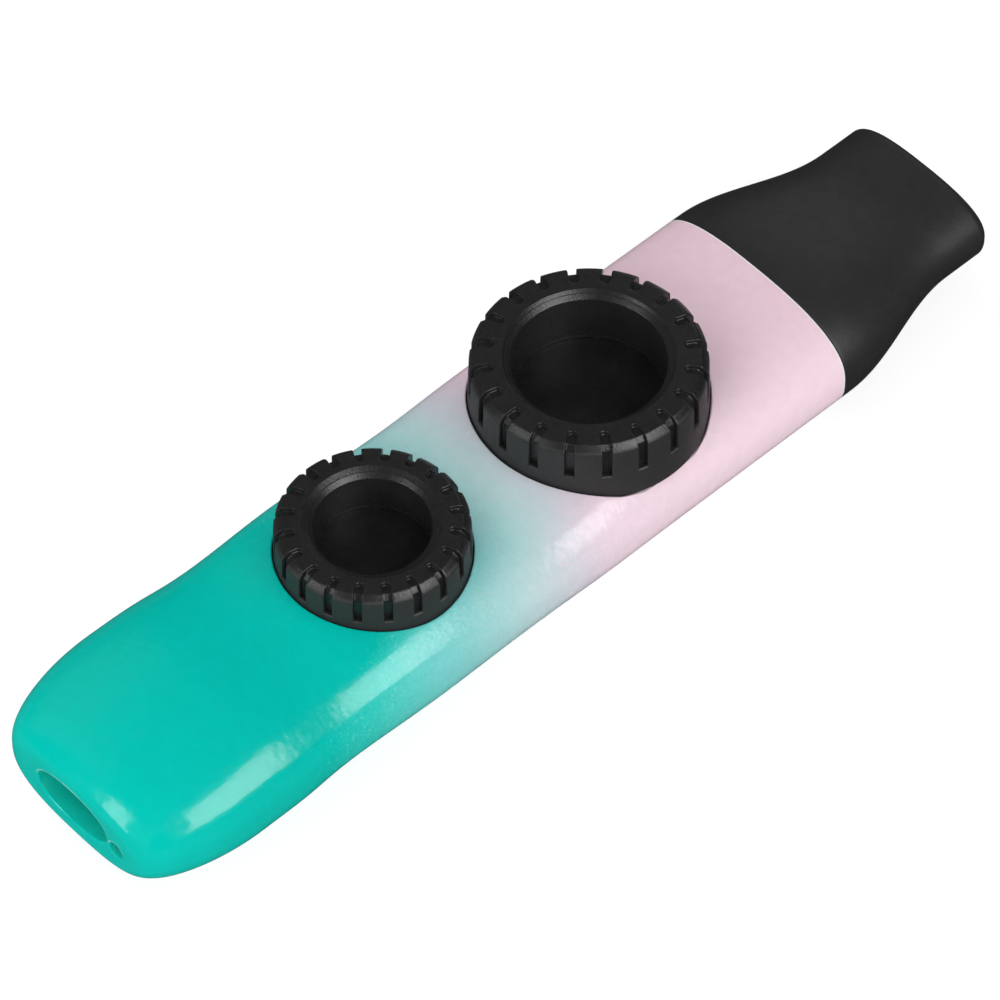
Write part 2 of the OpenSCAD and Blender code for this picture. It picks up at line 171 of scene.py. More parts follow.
def mouth_size(m, inset=0.0):
    """Half width and half height of the mouthpiece at a distance m from the joint."""
    a0, b0 = half_width(BODY_L), half_height(BODY_L)
    return (float(a0 + (MOUTH_A - a0) * ease((m - 2) / 21)) - inset,
            float(b0 + (MOUTH_B - b0) * ease(m / 22)) - inset)


# ---------------------------------------------------------------- meshes
SAME = 1e-6
THREAD_START, THREAD_LAND, THREAD_FOOT, THREAD_FADE = 1.0, 0.12, 0.38, 0.08


def oval_angles(count, a=BODY_W / 2, b=BODY_H / 2, power=POWER):
    """Parameters of a superellipse that space its points evenly along its length."""
    t = np.linspace(0, 2 * np.pi, 8001)
    p = np.stack([a * np.sign(np.cos(t)) * np.abs(np.cos(t)) ** (2 / power),
                  b * np.sign(np.sin(t)) * np.abs(np.sin(t)) ** (2 / power)], 1)
    run = np.concatenate([[0], np.cumsum(np.linalg.norm(np.diff(p, axis=0), axis=1))])
    return np.interp(np.arange(count) * run[-1] / count, run, t)


def oval(a, b, angles, power=POWER):
    """Points (y, z) of a superellipse round the origin."""
    c, s = np.cos(angles), np.sin(angles)
    return a * np.sign(c) * np.abs(c) ** (2 / power), b * np.sign(s) * np.abs(s) ** (2 / power)


def ring(x, a, b, angles, power=POWER, y=0.0, z=AXIS_Z):
    """An oval ring of points across the body at x."""
    across, up = oval(a, b, angles, power)
    return np.stack([np.full_like(across, x), y + across, z + up], 1)


def circle(x, r, z, count):
    """A level ring of points round a vertical axis at x."""
    turn = np.linspace(0, 2 * math.pi, count, endpoint=False)
    return np.stack([x + r * np.cos(turn), r * np.sin(turn), np.full(count, z)], 1)


def fillet(radius, steps, first=0, angle=90):
    """Pairs (radius * (1 - cos), radius * (1 - sin)) of a quarter turn, or of its first part."""
    for k in range(first, steps + 1):
        t = math.radians(angle * k / steps)
        yield radius * (1 - math.cos(t)), radius * (1 - math.sin(t))


def mm_object(name, points, faces):
    """A mesh object from points in millimetres, with its faces turned outwards."""
    mesh = bpy.data.meshes.new(name)
    mesh.from_pydata((np.asarray(points) * 0.001).tolist(), [], faces)
    mesh.update()
    mesh.calc_loop_triangles()
    co = np.zeros(len(mesh.vertices) * 3)
    mesh.vertices.foreach_get("co", co)
    co = co.reshape(-1, 3)
    tri = np.zeros(len(mesh.loop_triangles) * 3, int)
    mesh.loop_triangles.foreach_get("vertices", tri)
    a, b, c = (co[tri.reshape(-1, 3)[:, k]] for k in range(3))
    if np.einsum("ij,ij->i", a, np.cross(b, c)).sum() < 0:
        mesh.flip_normals()
    obj = bpy.data.objects.new(name, mesh)
    bpy.context.scene.collection.objects.link(obj)
    return obj


def grid_faces(rows, count, close_rows=False):
    """The faces between rows of points that are each closed."""
    faces = []
    for k in range(rows if close_rows else rows - 1):
        here, there = k * count, (k + 1) % rows * count
        for i in range(count):
            j = (i + 1) % count
            faces.append((here + i, there + i, there + j, here + j))
    return faces


def loft(name, rings, centres=(None, None)):
    """A closed solid through rings of points; centres give a fan's middle point at either end."""
    count = len(rings[0])
    points = list(rings)
    faces = grid_faces(len(rings), count)
    last = (len(rings) - 1) * count
    extra = len(rings) * count
    for first, centre, flip in ((0, centres[0], False), (last, centres[1], True)):
        around = [first + i for i in range(count)]
        if centre is None:
            faces.append(tuple(around[::-1] if flip else around))
        else:
            points.append(np.asarray([centre], float))
            for here, there in zip(around, around[1:] + around[:1]):
                faces.append((extra, there, here) if flip else (extra, here, there))
            extra += 1
    return mm_object(name, np.concatenate(points), faces)


def closed_rings(name, rings):
    """A solid like a tube: the last ring joins the first."""
    count = len(rings[0])
    return mm_object(name, np.concatenate(rings), grid_faces(len(rings), count, close_rows=True))


def rounded(corners, steps=5):
    """A closed outline (u, v) from corners (u, v, radius), with this many steps in each fillet."""
    out = []
    n = len(corners)
    for i, (u, v, radius) in enumerate(corners):
        here = np.array([u, v])
        before, after = (np.array(corners[(i + k) % n][:2]) for k in (-1, 1))
        out += corner(before, here, after, radius, steps)
    return np.array(out)


def corner(before, here, after, radius, steps):
    """The points of a fillet between two straight runs, or the corner itself where there's no room or turn."""
    a, b = before - here, after - here
    la, lb = np.linalg.norm(a), np.linalg.norm(b)
    a, b = a / la, b / lb
    half = math.acos(max(-1, min(1, float(a @ b)))) / 2
    if radius <= 0 or half > math.radians(89):
        return [here]
    most = 0.48    # of either run, as its other end may need as much
    reach = min(radius / math.tan(half), most * la, most * lb)
    radius = reach * math.tan(half)
    middle = (a + b) / np.linalg.norm(a + b)
    centre = here + middle * radius / math.sin(half)
    start, end = here + a * reach - centre, here + b * reach - centre
    t0 = math.atan2(start[1], start[0])
    turn = (math.atan2(end[1], end[0]) - t0 + math.pi) % (2 * math.pi) - math.pi
    return [centre + radius * np.array([math.cos(t0 + turn * k / steps), math.sin(t0 + turn * k / steps)])
            for k in range(steps + 1)]


def split_line(outline, radius):
    """Adds points to the outline's upright run at a radius, so that a thread can be drawn in it."""
    step = 0.1
    out = []
    for p, q in zip(outline, np.roll(outline, -1, axis=0)):
        out.append(p)
        if abs(p[0] - radius) < SAME and abs(q[0] - radius) < SAME and abs(q[1] - p[1]) > 3 * step:
            k = int(abs(q[1] - p[1]) / step)
            out += [p + (q - p) * i / k for i in range(1, k)]
    return np.array(out)


def thread_height(z, angle, z0, turns, height):
    """Height of a one-start right-hand thread at a height z and an angle, faded out at both ends."""
    run = (z - z0) / PITCH - angle / (2 * np.pi)
    k = np.clip(np.round(run), 0, None)
    off = np.abs(run - k) * PITCH
    along = k + angle / (2 * np.pi)
    fade = np.clip(along / THREAD_FADE, 0, 1) * np.clip((turns - along) / THREAD_FADE, 0, 1)
    return height * fade * np.clip((THREAD_FOOT - off) / (THREAD_FOOT - THREAD_LAND), 0, 1)


def revolve(name, outline, x, count=240, thread=None):
    """A ring round a vertical axis at x; thread(angle, r, z) gives the radii with the thread in them."""
    rings = []
    for k in range(count):
        angle = 2 * math.pi * k / count
        r, z = outline.T
        if thread is not None:
            r = thread(angle, r, z)
        rings.append(np.stack([x + r * math.cos(angle), r * math.sin(angle), z], 1))
    return closed_rings(name, rings)


def boolean(obj, tool, operation="DIFFERENCE"):
    """Cuts the tool from the object, or joins it on, and removes the tool."""
    mod = obj.modifiers.new("cut", "BOOLEAN")
    mod.operation = operation
    mod.object = tool
    mod.solver = "MANIFOLD"
    bpy.context.view_layer.update()
    depsgraph = bpy.context.evaluated_depsgraph_get()
    mesh = bpy.data.meshes.new_from_object(obj.evaluated_get(depsgraph))
    obj.modifiers.clear()
    obj.data = mesh
    bpy.data.objects.remove(tool)


def joined(name, parts):
    """One object from pairs of points and faces."""
    points, faces, base = [], [], 0
    for p, f in parts:
        points.append(np.asarray(p))
        faces += [tuple(base + i for i in q) for q in f]
        base += len(p)
    return mm_object(name, np.concatenate(points), faces)


def smooth(obj, sharp=34):
    """Smooth shading, with edges over this many degrees kept sharp."""
    obj.data.shade_smooth()
    obj.data.set_sharp_from_angle(angle=math.radians(sharp))
    mod = obj.modifiers.new("normals", "WEIGHTED_NORMAL")
    mod.mode = "FACE_AREA_WITH_ANGLE"
    mod.weight = 80
    mod.keep_sharp = True
    return obj


# ---------------------------------------------------------------- materials
def linear(rgb):
    """A colour for a socket from one as it shows on a screen, 0 to 255."""
    shares = [c / 255 for c in rgb]
    return tuple(v / 12.92 if v <= 0.04045 else ((v + 0.055) / 1.055) ** 2.4 for v in shares) + (1.0,)


class Shader:
    """A node material; place is the point on the object in millimetres."""

    def __init__(self, name):
        self.material = bpy.data.materials.new(name)
        self.material.use_nodes = True
        self.tree = self.material.node_tree
        self.tree.nodes.clear()
        self.out = self.add("ShaderNodeOutputMaterial")
        where = self.add("ShaderNodeTexCoord")
        self.place = self.add("ShaderNodeVectorMath", {0: where.outputs["Object"], "Scale": 1000.0},
                              operation="SCALE").outputs[0]

    def add(self, kind, inputs=None, **props):
        node = self.tree.nodes.new(kind)
        for key, value in props.items():
            setattr(node, key, value)
        for key, value in (inputs or {}).items():
            socket = node.inputs[key]
            if isinstance(value, bpy.types.NodeSocket):
                self.tree.links.new(value, socket)
            else:
                socket.default_value = value
        return node

    def math(self, operation, a, b=0.0, c=0.0, clamp=False):
        return self.add("ShaderNodeMath", {0: a, 1: b, 2: c}, operation=operation, use_clamp=clamp).outputs[0]

    def length(self, a, b):
        return self.math("SQRT", self.math("ADD", self.math("MULTIPLY", a, a), self.math("MULTIPLY", b, b)))

    def noise(self, scale, detail=2.0, rough=0.5):
        return self.add("ShaderNodeTexNoise", {"Vector": self.place, "Scale": scale, "Detail": detail,
                                               "Roughness": rough}).outputs["Fac"]

    def remap(self, value, a, b, c, d, kind="LINEAR"):
        inputs = {"Value": value, "From Min": a, "From Max": b, "To Min": c, "To Max": d}
        return self.add("ShaderNodeMapRange", inputs, interpolation_type=kind).outputs["Result"]

    def ramp(self, value, stops):
        node = self.add("ShaderNodeValToRGB", {"Fac": value})
        marks = node.color_ramp.elements
        while len(marks) < len(stops):
            marks.new(0.5)
        for mark, (at, colour) in zip(marks, stops):
            mark.position = at
            mark.color = colour
        return node.outputs["Color"]

    def mix(self, factor, a, b, blend="MIX"):
        node = self.add("ShaderNodeMix", data_type="RGBA", blend_type=blend)
        for socket, value in ((node.inputs[0], factor), (node.inputs[6], a), (node.inputs[7], b)):
            if isinstance(value, bpy.types.NodeSocket):
                self.tree.links.new(value, socket)
            else:
                socket.default_value = value
        return node.outputs[2]

    def bump(self, heights, distance=0.001):
        """A normal from (height, strength) pairs, one bump after the other."""
        normal = None
        for height, strength in heights:
            inputs = {"Height": height, "Strength": strength, "Distance": distance}
            if normal is not None:
                inputs["Normal"] = normal
            normal = self.add("ShaderNodeBump", inputs).outputs[0]
        return normal

    def principled(self, **inputs):
        names = {"colour": "Base Color", "rough": "Roughness", "ior": "IOR", "coat": "Coat Weight",
                 "coat_rough": "Coat Roughness", "normal": "Normal"}
        node = self.add("ShaderNodeBsdfPrincipled", {names[k]: v for k, v in inputs.items()})
        self.tree.links.new(node.outputs[0], self.out.inputs["Surface"])
        return self.material


def painted_rim_highlights(m, x, y, z):
    """Painted highlights: pale lines on the upper rims of the outlet and the lanyard hole, and on the rim of
    the socket, where their fillets catch the light.
    """
    found = [m.remap(x, JOINT_X - 0.32, JOINT_X - 0.2, 0.0, 0.8)]
    for a, b, gap, wide, mid_y, mid_z in ((OUTLET_A, OUTLET_B, 0.12, 0.34, OUTLET_Y, OUTLET_Z),
                                          (LANYARD_R, LANYARD_R, 0.05, 0.24, LANYARD_Y, LANYARD_Z)):
        u, v = m.math("MULTIPLY_ADD", y, 1 / a, -mid_y / a), m.math("MULTIPLY_ADD", z, 1 / b, -mid_z / b)
        level = m.length(u, v)
        steep = m.length(m.math("DIVIDE", u, a), m.math("DIVIDE", v, b))
        off = m.math("DIVIDE", m.math("MULTIPLY", level, m.math("SUBTRACT", level, 1.0)), steep)
        off = m.math("SUBTRACT", off, gap + wide / 2)
        band = m.remap(m.math("ABSOLUTE", off), wide * 0.2, wide * 0.6, 0.3, 0.0)
        band = m.math("MULTIPLY", band, m.remap(v, 0.05, 0.6, 0.0, 1.0))
        found.append(m.math("MULTIPLY", band, m.remap(x, END_X + 0.9, END_X + 1.2, 1.0, 0.0)))
    return m.math("MAXIMUM", found[0], m.math("MAXIMUM", found[1], found[2]))


def paint_material():
    m = Shader("sprayed_paint")
    x, y, z = m.add("ShaderNodeSeparateXYZ", {0: m.place}).outputs
    along = m.math("SUBTRACT", x, END_X)
    # The colours by their distance from the outlet's end, in millimetres, as they lie on the near side
    stops = [(27, (0, 185, 171)), (34, (50, 195, 183)), (40, (92, 202, 194)), (46, (121, 204, 201)),
             (52, (149, 207, 205)), (58, (172, 212, 211)), (64, (190, 208, 212)), (70, (208, 200, 210)),
             (76, (224, 200, 213)), (94, (232, 202, 214))]
    first, last, meet = stops[0][0], stops[-1][0], 78.0
    # Over the crown they start later, and at meet they lie in one line across
    start = m.remap(y, -16.5, -8.5, first, 42.0, "SMOOTHSTEP")
    share = m.math("DIVIDE", m.math("SUBTRACT", along, start), m.math("SUBTRACT", meet, start))
    share = m.math("MULTIPLY", share, (meet - first) / (last - first))
    # Uneven spray: wide clouds, fine mist, and single drops where the teal begins to thin out
    cloud = m.math("MULTIPLY", m.math("SUBTRACT", m.noise(0.11, 3.0), 0.5), 0.07)
    mist = m.math("MULTIPLY", m.math("SUBTRACT", m.noise(2.6, 3.0, 0.7), 0.5), 0.20)
    drops = m.math("MULTIPLY", m.remap(m.noise(1.9, 1.0), 0.60, 0.72, 0.0, 0.075),
                   m.remap(share, 0.12, 0.36, 1.0, 0.0))
    share = m.math("ADD", m.math("ADD", share, cloud), m.math("ADD", mist, drops))
    colour = m.ramp(share, [((s - first) / (last - first), linear(c)) for s, c in stops])
    # The pink is paler on the near side: partly the spray, partly a painted sheen of the lamps on that side
    near = m.math("MULTIPLY", m.remap(y, -16.0, -8.0, 0.42, 0.0),
                  m.remap(share, 0.45, 0.8, 0.0, 1.0, "SMOOTHSTEP"))
    colour = m.mix(near, colour, linear((252, 230, 238)))
    # The rims are painted near white: painted highlights
    colour = m.mix(painted_rim_highlights(m, x, y, z), colour, linear((246, 250, 250)))
    tone = m.remap(m.noise(0.6, 3.0), 0.3, 0.7, 0.975, 1.02)
    grey = m.add("ShaderNodeCombineColor", {0: tone, 1: tone, 2: tone}).outputs[0]
    colour = m.mix(1.0, colour, grey, "MULTIPLY")
    rough = m.remap(m.noise(0.8, 4.0), 0.3, 0.7, 0.12, 0.19)
    normal = m.bump([(m.noise(0.9, 2.0), 0.055), (m.noise(0.14, 1.0), 0.06)])
    return m.principled(colour=colour, rough=rough, ior=1.3, coat=0.1, coat_rough=0.08, normal=normal)


def cap_wall(m):
    """1 on the caps' outer walls, 0 elsewhere."""
    x, y, _ = m.add("ShaderNodeSeparateXYZ", {0: m.place}).outputs
    found = []
    for c in CAPS.values():
        reach = m.length(m.math("SUBTRACT", x, c["x"]), y)
        far = m.remap(reach, c["d"] / 2 + 0.5, c["d"] / 2 + 0.6, 1.0, 0.0)
        found.append(m.math("MULTIPLY", far, m.remap(reach, c["d"] / 2 - 0.6, c["d"] / 2 - 0.35, 0.0, 1.0)))
    return m.math("ADD", found[0], found[1], clamp=True)


def plastic_material(name, colour, dark, rough, grain, relief, speckle=0.0, ior=1.5, wall=None):
    """A moulded plastic, blotched between two colours; wall paints the caps' walls lighter, a painted sheen,
    and gives them more roughness.
    """
    m = Shader(name)
    blotch = m.remap(m.noise(0.35, 4.0, 0.6), 0.3, 0.7, 0.0, 1.0)
    base = m.mix(blotch, colour + (1.0,), dark + (1.0,))
    fine = m.noise(grain, 3.0, 0.6)
    if speckle:
        light = m.remap(fine, 0.55, 0.75, 0.0, speckle)
        base = m.mix(light, base, tuple(min(1, c * 2.5) for c in colour) + (1.0,))
    roughness = m.remap(m.noise(1.3, 4.0, 0.6), 0.3, 0.7, rough[0], rough[1])
    if wall:
        here = cap_wall(m)
        # The walls are painted lighter by the first factor: a painted sheen of the lamps on their matt surface
        base = m.mix(here, base, tuple(wall[0] * c for c in colour) + (1.0,))
        roughness = m.math("MULTIPLY_ADD", here, wall[1], roughness)
    normal = m.bump([(fine, relief), (m.noise(0.25, 2.0), relief * 0.6)], 0.0005)
    return m.principled(colour=base, rough=roughness, ior=ior, normal=normal)


PAINT = paint_material()
INSIDE = plastic_material("teal_moulding", (0.002, 0.62, 0.50), (0.002, 0.54, 0.43), (0.28, 0.42),
                          grain=5.0, relief=0.05)
# The caps' walls are painted half again lighter, a painted sheen
CAP_PLASTIC = plastic_material("cap_abs", (0.0165, 0.0163, 0.0163), (0.0130, 0.0128, 0.0128), (0.26, 0.36),
                               grain=3.4, relief=0.13, speckle=0.25, ior=1.36, wall=(1.5, 0.2))
MOUTH_PLASTIC = plastic_material("mouthpiece_abs", (0.0205, 0.0203, 0.0203), (0.0175, 0.0173, 0.0173),
                                 (0.40, 0.50), grain=4.0, relief=0.12, speckle=0.25, ior=1.37)
SLIP_PLASTIC = plastic_material("slip_plastic", (0.020, 0.020, 0.021), (0.016, 0.016, 0.017), (0.20, 0.30),
                                grain=4.0, relief=0.04)
RING_PLASTIC = plastic_material("ring_plastic", (0.035, 0.035, 0.037), (0.026, 0.026, 0.028), (0.35, 0.5),
                                grain=6.0, relief=0.08)
RUBBER = plastic_material("seal_rubber", (0.028, 0.028, 0.030), (0.020, 0.020, 0.021), (0.62, 0.78),
                          grain=11.0, relief=0.2, speckle=0.4)
# The clear film is coloured near black: painted shade of the dark hollow seen through it
FILM_PAINTED_SHADE = plastic_material("membrane_film", (0.0085, 0.0088, 0.0090), (0.0060, 0.0062, 0.0064), (0.32, 0.48),
                        grain=2.0, relief=0.10, speckle=0.2)

# ---------------------------------------------------------------- the painted body
ANGLES = oval_angles(256)


def skin_ring(s, inset=0.0, scale=1.0):
    """A ring of the body's skin, with its crown lowered."""
    s = np.float64(s)
    y, h = oval((half_width(s) - inset) * scale, (half_height(s) - inset) * scale, ANGLES)
    up = np.where(h > 0, 1 - crown_dip(s) / half_height(s), 1.0)
    return np.stack([np.full_like(y, END_X + s), y, AXIS_Z - end_drop(s) + h * up], 1)


def body_blank():
    """The body without its openings; the rings lie closer where the end turns round."""
    phi = np.linspace(0, math.pi / 2, 40)
    stops = [*(END_SIDE_L * (1 - np.cos(phi) ** (2 / END_POWER))), *np.arange(17.3, BODY_L - 0.5, 0.9)]
    rings = [skin_ring(0, scale=k) for k in (0.25, 0.5, 0.7, 0.85, 0.95)]
    rings += [skin_ring(s) for s in stops]
    rings += [skin_ring(BODY_L - back, inset=inset) for inset, back in fillet(JOINT_EDGE, 6)]
    return loft("painted_body", rings, ((END_X, 0, AXIS_Z - END_DROP), None))


def end_hole(a, b, y, z, power, radius, count):
    """A cutter for a hole in the body's end, which widens at the face with a rounded edge."""
    last, past = 82, 0.15
    angles = oval_angles(count, a, b, power)
    rows = [(END_X + END_WALL + 1, 0.0), (END_X + radius, 0.0)]
    rows += [(END_X + back, grow) for grow, back in fillet(radius, 8, 1, last)]
    x, grow = rows[-1]
    rows += [(x - past * math.cos(math.radians(last)) - 0.02, grow + past), (END_X - 1, grow + past)]
    return loft("end_hole", [ring(x, a + grow, b + grow, angles, power, y, z) for x, grow in rows])


def cavity():
    """The hollow, which narrows towards the outlet, less the cups round the pockets."""
    a, b = SOCKET_A - CAVITY_STEP, SOCKET_B - CAVITY_STEP
    angles = oval_angles(160)
    rings = []
    for s in [*(END_WALL + CAVITY_TAPER_L * (np.arange(15) / 14) ** 2), BODY_L - SPIGOT_L + 0.5]:
        u = rise(s - END_WALL, CAVITY_TAPER_L)
        rings.append(ring(END_X + s, a * (0.72 + 0.28 * u), b * (0.64 + 0.36 * u), angles))
    hollow = loft("cavity", rings)
    for c in CAPS.values():
        rings = [circle(c["x"], c["pocket"] + CUP_WALL, z, 128) for z in (FLOOR_Z - FLOOR_T, ABOVE)]
        boolean(hollow, loft("cup", rings))
    return hollow


def socket():
    """The mouthpiece's socket with a rounded mouth."""
    angles = oval_angles(200)
    rows = [(-SPIGOT_L - 0.5, 0.0), (-0.2, 0.0), (-0.12, 0.03), (-0.04, 0.1), (0.1, 0.26), (1, 0.26)]
    return loft("socket", [ring(JOINT_X + m, SOCKET_A + grow, SOCKET_B + grow, angles) for m, grow in rows])


def pocket(c):
    """The round pocket with its rounded rim, which follows the crown."""
    count = 360
    angle = np.linspace(0, 2 * math.pi, count, endpoint=False)
    cos, sin = np.cos(angle), np.sin(angle)
    r0 = c["pocket"] - POCKET_TRIM
    near, foot_round, rim_round = 0.4, 0.2, 0.2
    edge = crown_z(c["x"] + r0 * cos, r0 * sin)
    out = crown_z(c["x"] + (r0 + near) * cos, (r0 + near) * sin)
    slope = np.arctan2(out - edge, near)
    edge = np.maximum(edge, FLOOR_Z + 0.3)
    # The rim's fillet turns from the wall to the slope of the crown, and shrinks where the wall is low
    half = (math.pi / 2 + slope) / 2
    room = 0.55 * (edge - FLOOR_Z - 0.28)
    radius = np.clip(np.minimum(rim_round, room * np.tan(half)), 0.01, None)
    centre_r, centre_z = r0 + radius, edge - radius / np.tan(half)
    last = math.pi / 2 + slope + math.radians(8)
    rows = [(np.full(count, r0 - back), np.full(count, FLOOR_Z + up)) for up, back in fillet(foot_round, 4)]
    for k in range(9):
        t = math.pi + (last - math.pi) * k / 8
        rows.append((centre_r + radius * np.cos(t), centre_z + radius * np.sin(t)))
    r, z = rows[-1]
    rows.append((r + 1.2 * np.sin(last), z - 1.2 * np.cos(last)))
    rows.append((rows[-1][0], np.full(count, ABOVE)))
    rings = [np.stack([c["x"] + r * cos, r * sin, z], 1) for r, z in rows]
    return loft("pocket", rings, ((c["x"], 0, FLOOR_Z), (c["x"], 0, ABOVE)))


def neck(c):
    """The neck with its outer thread; its foot reaches into the pocket's floor."""
    foot = FLOOR_Z - 0.5
    outline = rounded([(c["bore"], foot, 0), (c["neck"], foot, 0), (c["neck"], c["neck_top"], 0.35),
                       (c["bore"], c["neck_top"], 0.25)])
    outline = split_line(outline, c["neck"])
    z0 = FLOOR_Z + THREAD_START
    turns = (c["neck_top"] - 1.0 - z0) / PITCH

    def thread(angle, r, z):
        return np.where(np.abs(r - c["neck"]) < SAME, r + thread_height(z, angle, z0, turns, 0.25), r)

    return revolve("neck", outline, c["x"], thread=thread)


def floor_hole(c):
    """The hole from the neck down into the cavity, with a rounded upper edge."""
    rows = [(0.0, -3), (0.0, -0.18), (0.05, -0.06), (0.2, 0.06), (0.2, 1)]
    return loft("hole", [circle(c["x"], c["well"] + grow, FLOOR_Z + up, 160) for grow, up in rows])


def paint(obj):
    """Paint on the outer skin, the pockets and the outside of the necks; bare moulding elsewhere."""
    obj.data.materials.clear()
    obj.data.materials.append(PAINT)
    obj.data.materials.append(INSIDE)
    centre = np.zeros(len(obj.data.polygons) * 3)
    obj.data.polygons.foreach_get("center", centre)
    x, y, z = centre.reshape(-1, 3).T * 1000
    s = x - END_X
    a, b = half_width(s), half_height(s)
    up = z - AXIS_Z + end_drop(s)
    up = np.where(up > 0, up / (1 - crown_dip(s) / b), up)
    level = ((np.abs(y) / a) ** POWER + (np.abs(up) / b) ** POWER) ** (1 / POWER)
    depth = np.minimum((1 - level) * b, np.maximum(s, 0))
    # Bare is what lies over half a millimetre inside the skin, and the end face at the joint
    bare = (depth > 0.5) | (s > BODY_L - 0.01)
    for c in CAPS.values():
        reach = np.hypot(x - c["x"], y)
        high = z > FLOOR_Z - 0.3
        bare &= ~((reach > c["bore"] + 0.1) & (reach < c["pocket"] + 0.6) & high)
        bare |= (reach < c["bore"] + 0.1) & high
    obj.data.polygons.foreach_set("material_index", bare.astype(np.int32))


def body():
    obj = body_blank()
    for c in CAPS.values():
        boolean(obj, pocket(c))
    for c in CAPS.values():
        boolean(obj, neck(c), "UNION")
    boolean(obj, cavity())
    boolean(obj, socket())
    for c in CAPS.values():
        boolean(obj, floor_hole(c))
    boolean(obj, end_hole(OUTLET_A, OUTLET_B, OUTLET_Y, OUTLET_Z, OUTLET_POWER, 0.3, 200))
    boolean(obj, end_hole(LANYARD_R, LANYARD_R, LANYARD_Y, LANYARD_Z, 2.0, 0.2, 96))
    paint(obj)
    return smooth(obj)


# ---------------------------------------------------------------- the mouthpiece and its seal
def mouthpiece():
    """The skin from the joint to the lips, back through the airway, and forward again over the spigot."""
    angles = oval_angles(240)
    hole_round, end_round = 0.3, 0.5
    hole_a, hole_b = SPIGOT_A - SPIGOT_WALL, SPIGOT_B - SPIGOT_WALL
    lips_a, lips_b = MOUTH_A - MOUTH_WALL, MOUTH_B - MOUTH_WALL
    rows = [(0.0, (float(half_width(BODY_L)) + SPIGOT_A) / 2, (float(half_height(BODY_L)) + SPIGOT_B) / 2)]
    rows += [(m, *mouth_size(m, inset)) for m, inset in fillet(JOINT_EDGE, 6)]
    rows += [(m, *mouth_size(m)) for m in np.linspace(JOINT_EDGE, MOUTH_L - MOUTH_ROUND, 64)[1:]]
    rows += [(MOUTH_L - back, *mouth_size(MOUTH_L - back, inset)) for inset, back in fillet(MOUTH_ROUND, 14, 1)]
    rows += [(MOUTH_L - back, lips_a + grow, lips_b + grow) for back, grow in fillet(hole_round, 6)]
    for m in np.linspace(MOUTH_L - hole_round, 0, 44)[1:]:
        a, b = mouth_size(m, MOUTH_WALL)
        rows.append((m, min(a, hole_a), min(b, hole_b)))
    rows += [(back - SPIGOT_L, hole_a + grow, hole_b + grow) for grow, back in fillet(hole_round, 3)]
    rows += [(back - SPIGOT_L, SPIGOT_A - inset, SPIGOT_B - inset) for back, inset in fillet(end_round, 5)]
    groove = [(-5.42, 0), (-5.33, 0.03), (-5.3, 0.12), (-5.3, 1.0), (-3.7, 1.0), (-3.7, 0.12), (-3.67, 0.03),
              (-3.58, 0), (-0.1, 0), (0.0, -0.1)]
    rows += [(m, SPIGOT_A - deep, SPIGOT_B - deep) for m, deep in groove]
    obj = closed_rings("mouthpiece_moulding", [ring(JOINT_X + m, a, b, angles) for m, a, b in rows])
    obj.data.materials.append(MOUTH_PLASTIC)
    return smooth(obj)


def seal():
    """The ring in the spigot's groove, just clear of the socket."""
    angles = oval_angles(240)
    a, b = SOCKET_A - 0.05, SOCKET_B - 0.05
    outline = rounded([(-5.25, 1.07, 0.2), (-5.25, 0.0, 0.55), (-3.75, 0.0, 0.55), (-3.75, 1.07, 0.2)], 6)
    rings = [ring(JOINT_X + m, a - deep, b - deep, angles) for m, deep in outline]
    obj = closed_rings("mouthpiece_ring_seal", rings)
    obj.data.materials.append(RUBBER)
    return smooth(obj)


